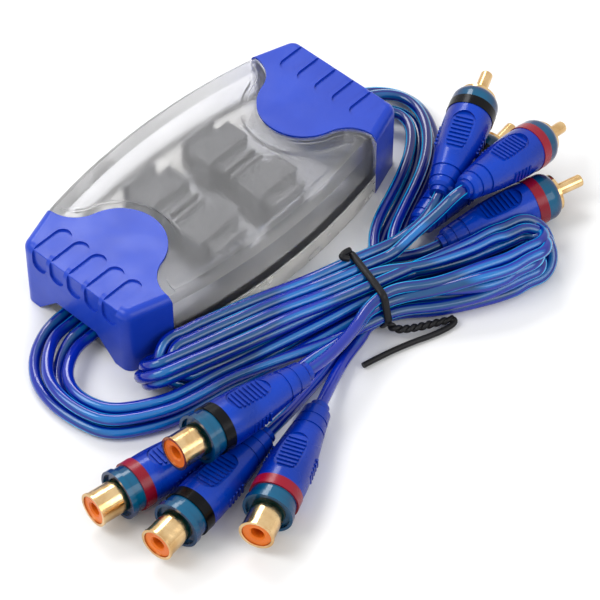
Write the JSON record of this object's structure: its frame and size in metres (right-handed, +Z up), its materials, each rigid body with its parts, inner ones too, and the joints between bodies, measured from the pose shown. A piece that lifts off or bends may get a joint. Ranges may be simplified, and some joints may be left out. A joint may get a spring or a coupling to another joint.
{
  "type": "ground loop isolator",
  "caption": "Small bowed case with blue end caps and a tied bundle of cords to phono plugs and sockets, which breaks a ground loop in an audio line.",
  "frame": {"origin": "under the middle of the case, on the floor it lies on", "axes": "+X along the case towards the plugs, +Y away from the cords' bundle, +Z up"},
  "size_m": [0.1659, 0.1072, 0.0247],
  "materials": {
    "cap_blue": "glossy",
    "shell_clear": "frosted, translucent",
    "tray_pale": "satin",
    "screw_steel": "plated",
    "board": "satin",
    "transformer_dark": "matte",
    "cord_clear": "blue, clear and glossy",
    "tie_black": "satin",
    "gold": "polished",
    "insulator_amber": "glossy",
    "collar_teal": "translucent",
    "grip_blue": "translucent",
    "band_black": "satin",
    "band_red": "satin"
  },
  "bodies": {
    "root": {"top_shell": "shell_clear", "bottom_shell": "tray_pale", "left_cap": "cap_blue", "right_cap": "cap_blue", "case_screws": "screw_steel", "circuit_board": "board", "transformer_1": "transformer_dark", "transformer_2": "transformer_dark", "transformer_3": "transformer_dark", "transformer_4": "transformer_dark", "plug_cord_1": "cord_clear", "plug_cord_2": "cord_clear", "plug_cord_3": "cord_clear", "plug_cord_4": "cord_clear", "socket_cord_1": "cord_clear", "socket_cord_2": "cord_clear", "socket_cord_3": "cord_clear", "socket_cord_4": "cord_clear", "cord_hank": "cord_clear", "twist_tie": "tie_black", "socket_1_barrel": "gold", "socket_1_insulator": "insulator_amber", "socket_1_collar": "collar_teal", "socket_1_band": "band_black", "socket_1_grip": "grip_blue", "socket_2_barrel": "gold", "socket_2_insulator": "insulator_amber", "socket_2_collar": "collar_teal", "socket_2_band": "band_red", "socket_2_grip": "grip_blue", "socket_3_barrel": "gold", "socket_3_insulator": "insulator_amber", "socket_3_collar": "collar_teal", "socket_3_band": "band_black", "socket_3_grip": "grip_blue", "socket_4_barrel": "gold", "socket_4_insulator": "insulator_amber", "socket_4_collar": "collar_teal", "socket_4_band": "band_red", "socket_4_grip": "grip_blue", "plug_1_pin": "gold", "plug_1_shell": "gold", "plug_1_collar": "collar_teal", "plug_1_band": "band_black", "plug_1_grip": "grip_blue", "plug_2_pin": "gold", "plug_2_shell": "gold", "plug_2_collar": "collar_teal", "plug_2_band": "band_red", "plug_2_grip": "grip_blue", "plug_3_pin": "gold", "plug_3_shell": "gold", "plug_3_collar": "collar_teal", "plug_3_band": "band_red", "plug_3_grip": "grip_blue", "plug_4_pin": "gold", "plug_4_shell": "gold", "plug_4_collar": "collar_teal", "plug_4_band": "band_black", "plug_4_grip": "grip_blue"}
  },
  "joints": []
}
